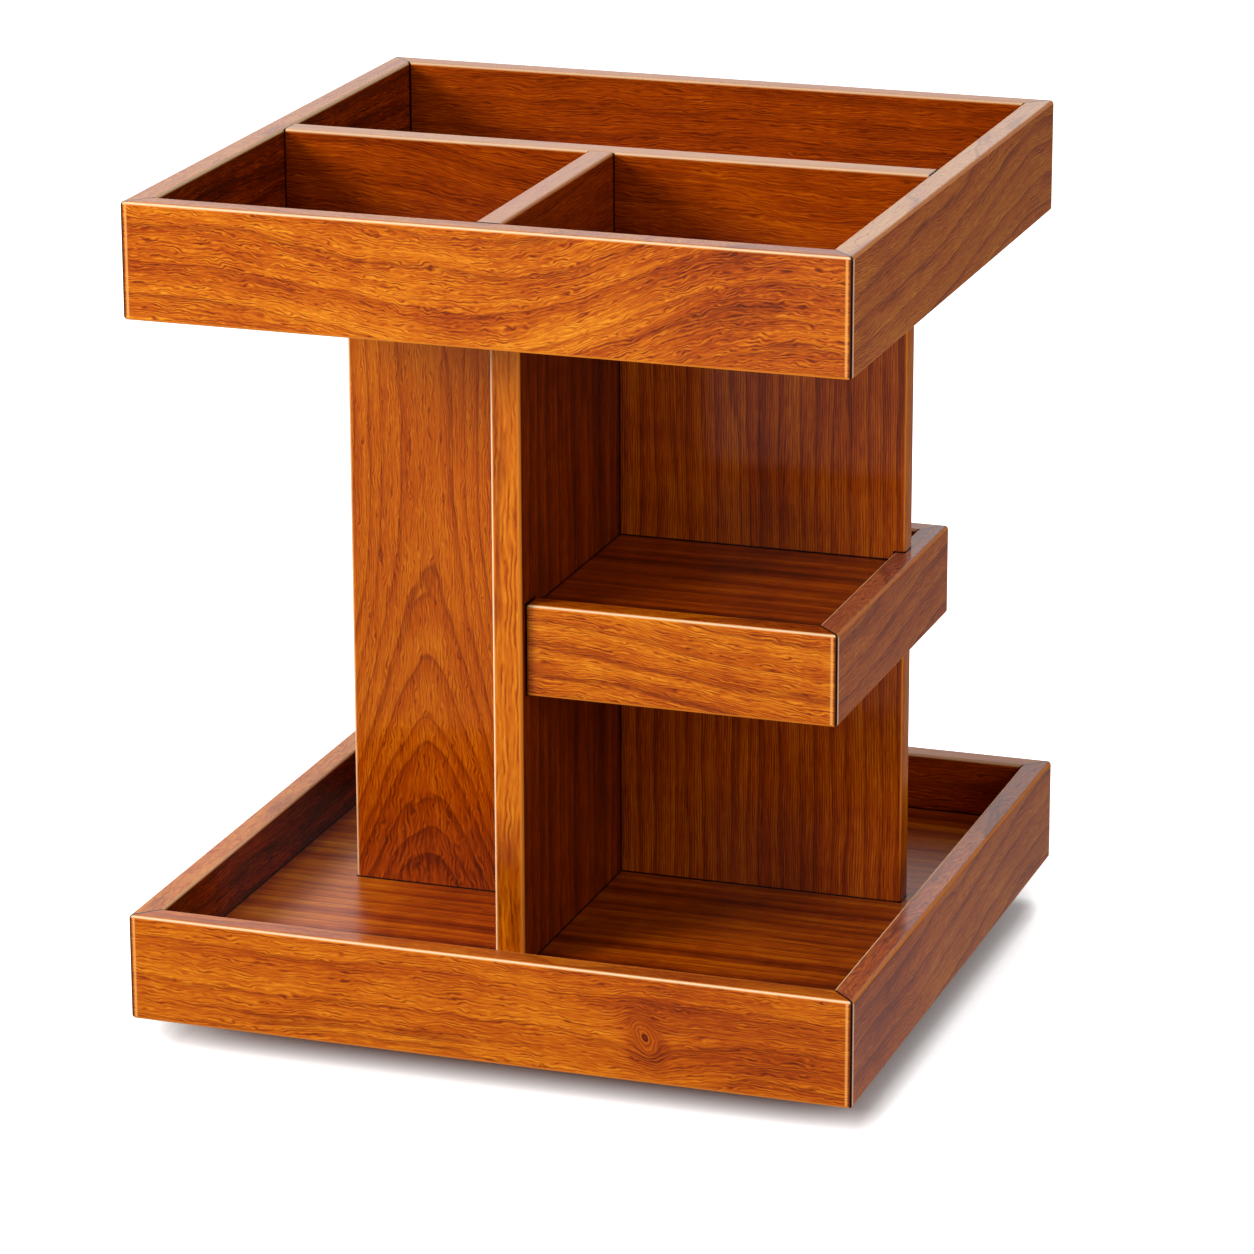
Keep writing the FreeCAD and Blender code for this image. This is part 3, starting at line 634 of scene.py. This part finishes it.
WOOD = {
    "top_front_rail": dict(along="X", across="Z", seed=3, spacing=9, ripple=1.2, curl=0.7, lines=0.25,
                           reach=9, bends=((-95, -5, -9), (0, 92, 26)),
                           patches=((20, -8, 34, 12, 12, 0.1), (88, 0, 55, 36, 12, -0.2))),
    "base_front_rail": dict(along="X", across="Z", seed=11, pith=(-80, 40), spacing=9, sway=6, lines=0.25,
                            figure=0.22, bands=0.3, strokes=0.8, painted_edge_light=0.05, painted_edge_sheen=0.02,
                            knot=(50, -2.3, 3.0),
                            patches=((-52, -2, 30, 8, 22, -0.06), (80, -2, 60, 26, -8, -0.14),
                                     (50, 0, 12, 20, 0, -0.05))),
    "shelf_front_rail": dict(along="X", across="Z", seed=17, pith=(90, 30), sway=4, ripple=0.8,
                             painted_edge_light=-0.08, bends=((-50, 50, -9),)),
    # Its first patch is painted shade, darker towards the bottom; the second makes it lighter towards the
    # top.
    "left_wing_panel": dict(along="Z", across="X", seed=23, pith=(-11, 8), spacing=3.9, sway=0.8, ripple=0.5,
                            lines=0.32, figure=0.2, bands=0.2, strokes=0.6, reach=11, flame=(33, -102, 29),
                            arris_width=1.2, arris=0.65,
                            patches=((-104, 0, 70, 90, 0, -0.22), (110, 0, 80, 90, 0, 0.09))),
    # Its tone is painted shade, and its patch makes it a little darker low down.
    "right_wing_panel": dict(along="Z", across="X", seed=29, pith=(160, 40), spacing=5, sway=2.5,
                             ripple=0.35, curl=0.12, tone=-0.09, lines=0.35, figure=0.25, bands=0.25,
                             strokes=0.7, reach=26, bow=1.6, grain=0.75, arris_width=0.7,
                             patches=((-80, 30, 40, 40, 0, -0.02),)),
    "spine_panel": dict(along="Z", across="Y", seed=31, pith=(140, 20), sway=2, ripple=0.5, curl=0.15,
                        painted_edge_light=0.01, painted_inner_shade=-0.32, figure=0.15, bands=0.25, strokes=0.7, reach=22,
                        bow=2.5, edge_strokes=1.0, arris_width=1.2),
    # The floors' tone is painted shade. The base floor's patches are painted reflection and light: lighter
    # on the left, and at the far right.
    "base_floor": dict(FLOOR, seed=37, tone=-0.13,
                       patches=((-90, -20, 45, 120, 0, 0.24), (95, 60, 40, 60, 0, 0.22))),
    "top_floor": dict(FLOOR, seed=41, tone=-0.13),
    "shelf_floor": dict(FLOOR, seed=43, tone=-0.18),
    # The dividers' tone is painted shade, and the long divider's patch painted light, lighter towards the
    # right.
    "long_divider": dict(DIVIDER, along="X", seed=47, bends=((-90, 0, -12),), tone=-0.21, painted_edge_light=0.4,
                         patches=((70, 0, 60, 60, 0, 0.08),)),
    "cross_divider": dict(DIVIDER, along="Y", seed=53, sway=4, tone=-0.23, painted_edge_light=0.35),
    "top_right_rail": dict(RIGHT_RAIL, seed=59, bends=((-100, 100, 14),), tone=0.03,
                           painted_edge_light=0.28, painted_edge_sheen=0.35),
    # Its patch is painted shade, darker towards the front corner.
    "base_right_rail": dict(RIGHT_RAIL, seed=61, bends=((-100, 100, 14),), painted_edge_light=-0.05,
                            painted_edge_sheen=0.1, patches=((-85, 0, 70, 80, 0, -0.12),)),
    "shelf_right_rail": dict(RIGHT_RAIL, seed=67, sway=4, bends=((-60, 60, 10),), tone=-0.03,
                             painted_edge_light=-0.04, painted_edge_sheen=0.12),
    "top_back_rail": dict(BACK_RAIL, seed=71),
    "base_back_rail": dict(BACK_RAIL, seed=73),
    "shelf_back_rail": dict(BACK_RAIL, seed=79, painted_inner_shade=-0.3),
    "top_left_rail": dict(LEFT_RAIL, seed=83),
    "base_left_rail": dict(LEFT_RAIL, seed=89, painted_inner_shade=-0.36),
}


# The hidden turntable and fasteners

# How many plies there are, and how much darker every second one is.
PLIES = 9.0
PLY_DARKER = -0.35


def oiled_plywood():
    """Birch plywood, oiled: nine thin plies show as light and dark stripes round the disc's edge, and the
    face has faint long grain."""
    material, tree, shader = new_material("oiled_birch_plywood")
    point = object_point(tree)
    height = add(tree, "SeparateXYZ", {0: point}, out="Z")
    low, high = board_box("turntable_disc")
    ply = add(tree, "MapRange", {"Value": height, "From Min": low.z, "From Max": high.z, "To Max": PLIES})
    ply = add(tree, "Math", {0: ply, 1: 2.0}, operation="MODULO")
    turned = add(tree, "Math", {0: ply, 1: 1.0}, operation="GREATER_THAN")
    grain = across_grain(tree, point, (40, 1.6, 3), 5, 3.0)
    shade = add(tree, "Math", {0: turned, 1: PLY_DARKER, 2: grain}, operation="MULTIPLY_ADD")
    wood = colour_steps(tree, shade, ((0.1, "#8f6a41"), (0.4, "#b98f5d"), (0.7, "#d3ad7b")))
    normal = add(tree, "Bump", {"Height": grain, "Strength": 0.3, "Distance": 0.1 * MM})
    set_inputs(tree, shader, {"Base Color": wood, "Roughness": 0.55, "Normal": normal})
    return material


def raw_beech():
    """Turned beech dowels, raw: pale pinkish brown with fine flecks that tell beech from pine."""
    material, tree, shader = new_material("raw_beech")
    point = object_point(tree)
    fleck = across_grain(tree, point, (1.2, 1.2, 1.2), 9, 4.0, 0.7)
    wood = colour_steps(tree, fleck, ((0.3, "#a87a52"), (0.5, "#cda27a"), (0.7, "#dcb793")))
    set_inputs(tree, shader, {"Base Color": wood, "Roughness": 0.7})
    return material


# The range of the stain's noise that is used, and the shares of the roughness at its two ends.
STAIN_LOW, STAIN_HIGH = 0.3, 0.7
DULLER, SHINIER = 1.3, 0.8


def metal(name, dark, light, rough, spot, relief=0.05):
    """A metal whose colour and gloss change a little from spot to spot, as plated and stamped sheet does.
    The spots' size and their relief are in millimetres."""
    material, tree, shader = new_material(name)
    point = object_point(tree)
    stain = across_grain(tree, point, (spot, spot, spot), 3, 4.0, 0.6)
    tone = colour_steps(tree, stain, ((STAIN_LOW, dark), (STAIN_HIGH, light)))
    gloss = add(tree, "MapRange", {"Value": stain, "From Min": STAIN_LOW, "From Max": STAIN_HIGH,
                                   "To Min": rough * DULLER, "To Max": rough * SHINIER})
    normal = add(tree, "Bump", {"Height": stain, "Strength": 0.2, "Distance": relief * MM})
    set_inputs(tree, shader, {"Base Color": tone, "Metallic": 1.0, "Roughness": gloss, "Normal": normal})
    return material


def foot_rubber():
    """Black rubber, moulded and matt: a faint dusty bloom keeps it from looking like plastic."""
    material, tree, shader = new_material("black_rubber")
    point = object_point(tree)
    bloom = across_grain(tree, point, (2.5, 2.5, 2.5), 4, 4.0, 0.7)
    tone = colour_steps(tree, bloom, ((0.3, "#121212"), (0.75, "#2a2927")))
    normal = add(tree, "Bump", {"Height": bloom, "Strength": 0.3, "Distance": 0.05 * MM})
    set_inputs(tree, shader, {"Base Color": tone, "Roughness": 0.85, "Normal": normal})
    return material


def dress(name, material):
    """Puts the material in every slot of a node."""
    for slot in NODES[name].material_slots:
        slot.material = material


for board in BOARDS:
    dress(board, lacquered_sheesham(board, **WOOD[board]))

dress("turntable_disc", oiled_plywood())
beech = raw_beech()
for dowels in ("shelf_dowels", "column_dowels", "divider_dowels"):
    dress(dowels, beech)
plated = metal("zinc_plated_sheet", "#8d9194", "#b9bdc0", 0.38, 6.0)
for sheet in ("bearing_lower_plate", "bearing_centre_ring", "bearing_upper_plate"):
    dress(sheet, plated)
screw_zinc = metal("yellow_zinc_screws", "#9a9078", "#c0b694", 0.3, 1.0)
for screws in ("lower_plate_screws", "upper_plate_screws", "column_base_screws"):
    dress(screws, screw_zinc)
dress("bearing_balls", metal("polished_ball_steel", "#c4c6c8", "#d6d8da", 0.06, 2.0, 0.005))
dress("bearing_ball_cage", metal("stamped_brass", "#a47d3c", "#c9a35a", 0.3, 3.0))
dress("rubber_feet", foot_rubber())


# Camera

# Degrees and millimetres. The slide to the right and the lift are from the line through the object's middle.
IMAGE_SENSOR = 36.0
CAMERA = dict(azimuth=18.85, elevation=17.45, roll=-0.15, distance=1667.3, lens=156.75, slide=6.07,
              lift=-16.23)


def towards(azimuth, elevation):
    """The unit vector from the object at two angles in degrees. Azimuth 0 is the front and 90 the right."""
    a, e = math.radians(azimuth), math.radians(elevation)
    return Vector((math.sin(a) * math.cos(e), -math.cos(a) * math.cos(e), math.sin(e)))


def place_camera():
    """The camera at the photograph's place, aimed a little beside the object's middle."""
    azimuth, roll = math.radians(CAMERA["azimuth"]), math.radians(CAMERA["roll"])
    back = towards(CAMERA["azimuth"], CAMERA["elevation"])
    right = Vector((math.cos(azimuth), math.sin(azimuth), 0))
    up = back.cross(right)
    right, up = right * math.cos(roll) + up * math.sin(roll), up * math.cos(roll) - right * math.sin(roll)
    middle = (cad_box[0] + cad_box[1]) / 2
    place = middle + (right * CAMERA["slide"] + up * CAMERA["lift"] + back * CAMERA["distance"]) * MM
    data = bpy.data.cameras.new("studio_camera")
    data.lens = CAMERA["lens"]
    data.sensor_width = IMAGE_SENSOR
    data.sensor_fit = "HORIZONTAL"
    data.clip_start, data.clip_end = 0.05, 50
    camera = bpy.data.objects.new("studio_camera", data)
    camera.matrix_world = Matrix.Translation(place) @ Matrix((right, up, back)).transposed().to_4x4()
    bpy.context.scene.collection.objects.link(camera)
    bpy.context.scene.camera = camera


# Studio

# Half the floor's side, and the distance within which it is shaded by the object, in metres.
FLOOR_HALF, SHADE_REACH = 6.0, 0.4

# How pale the paper is to the camera, to the light that it sends on to the object, and in a mirror.
PAPER_SEEN, PAPER_BOUNCE, PAPER_MIRRORED = 1.0, 0.5, 0.24

# The paper's glow rises in two steps with its share of open sky: a faint one close under the object, up to
# the third value, and a full one clear of it.
NEAR_SKY, NEAR_GLOW = (0.07, 0.3), 0.18
CLEAR_SKY = (0.52, 0.78)


def studio_floor():
    """A white paper floor. The camera sees it plain white, brighter than the light it sends on to the
    object. It darkens where the object stands close above it."""
    mesh = bpy.data.meshes.new("studio_floor")
    form = bmesh.new()
    bmesh.ops.create_grid(form, x_segments=1, y_segments=1, size=FLOOR_HALF)
    form.to_mesh(mesh)
    form.free()
    floor = bpy.data.objects.new("studio_floor", mesh)
    bpy.context.scene.collection.objects.link(floor)
    material = bpy.data.materials.new("white_paper")
    tree = empty_tree(material)
    seen = add(tree, "LightPath", {}, out="Is Camera Ray")
    mirrored = add(tree, "LightPath", {}, out="Is Glossy Ray")
    level = add(tree, "MapRange", {"Value": seen, "To Min": PAPER_BOUNCE, "To Max": PAPER_SEEN})
    level = add(tree, "Math", {0: mirrored, 1: PAPER_MIRRORED - PAPER_BOUNCE, 2: level},
                operation="MULTIPLY_ADD")
    paper = add(tree, "BsdfDiffuse", {"Color": level})
    sky = add(tree, "AmbientOcclusion", {"Distance": SHADE_REACH}, out="AO", samples=16)
    near = add(tree, "MapRange", {"Value": sky, "From Min": NEAR_SKY[0], "From Max": NEAR_SKY[1],
                                  "To Max": NEAR_GLOW})
    clear = add(tree, "MapRange", {"Value": sky, "From Min": CLEAR_SKY[0], "From Max": CLEAR_SKY[1]})
    glow = add(tree, "Math", {0: near, 1: clear}, operation="ADD")
    glow = add(tree, "Math", {0: glow, 1: seen}, operation="MULTIPLY")
    shine = add(tree, "Emission", {"Strength": glow})
    both = add(tree, "AddShader", {0: paper, 1: shine})
    set_inputs(tree, tree.nodes.new("ShaderNodeOutputMaterial"), {"Surface": both})
    mesh.materials.append(material)
    return floor


def studio_world(ambient):
    """White all round where it is seen or mirrored, and a dimmer light on the surfaces."""
    world = bpy.data.worlds.new("studio_world")
    bpy.context.scene.world = world
    tree = empty_tree(world)
    path = add(tree, "LightPath", {}).node.outputs
    seen = add(tree, "Math", {0: path["Is Camera Ray"], 1: path["Is Glossy Ray"]}, operation="MAXIMUM")
    seen = add(tree, "Math", {0: seen, 1: path["Is Transmission Ray"]}, operation="MAXIMUM")
    strength = add(tree, "MapRange", {"Value": seen, "To Min": ambient, "To Max": 1.0})
    light = add(tree, "Background", {"Color": (1, 1, 1, 1), "Strength": strength})
    set_inputs(tree, tree.nodes.new("ShaderNodeOutputWorld"), {"Surface": light})


LAMP_AIM = Vector((0, 0, 0.13))


def lamp(name, azimuth, elevation, distance, size, level):
    """A square soft lamp that faces the object's middle, in metres and degrees. Its level is the share of
    full brightness that a surface facing it gets."""
    data = bpy.data.lights.new(name, "AREA")
    data.shape = "SQUARE"
    data.size = size
    data.energy = level * (math.pi * distance) ** 2
    back = towards(azimuth, elevation)
    light = bpy.data.objects.new(name, data)
    light.location = LAMP_AIM + back * distance
    light.rotation_mode = "QUATERNION"
    light.rotation_quaternion = back.to_track_quat("Z", "Y")
    bpy.context.scene.collection.objects.link(light)
    return light


def link_light(light, role, state, things):
    """Includes or excludes things among a light's receivers, or among the blockers of its shadow."""
    group = bpy.data.collections.new(f"{light.name}_{role}")
    for thing in things:
        group.objects.link(thing)
    setattr(light.light_linking, role + "_collection", group)
    for member in group.collection_objects:
        member.light_linking.link_state = state


# The paper lamp lights only the floor, and only the base throws its shadow. The rear lamp warms the back of
# the object and isn't seen mirrored in its coat.
place_camera()
floor = studio_floor()
studio_world(ambient=0.2)
key = lamp("key_lamp", azimuth=-42, elevation=24, distance=1.6, size=0.5, level=0.8)
lamp("top_lamp", azimuth=-30, elevation=58, distance=1.5, size=0.35, level=0.15)
fill = lamp("fill_lamp", azimuth=58, elevation=18, distance=1.6, size=0.8, level=0.22)
paper = lamp("paper_lamp", azimuth=8, elevation=26, distance=1.6, size=0.5, level=1.75)
rear = lamp("rear_lamp", azimuth=200, elevation=6, distance=1.6, size=0.5, level=0.35)
rear.visible_glossy = False
for light in (key, fill, rear):
    link_light(light, "receiver", "EXCLUDE", [floor])
link_light(paper, "receiver", "INCLUDE", [floor])
base = BASE_RAILS + ["base_floor", "turntable_disc"]
link_light(paper, "blocker", "INCLUDE", [NODES[name] for name in base])

scene = bpy.context.scene
scene.view_settings.view_transform = "Standard"
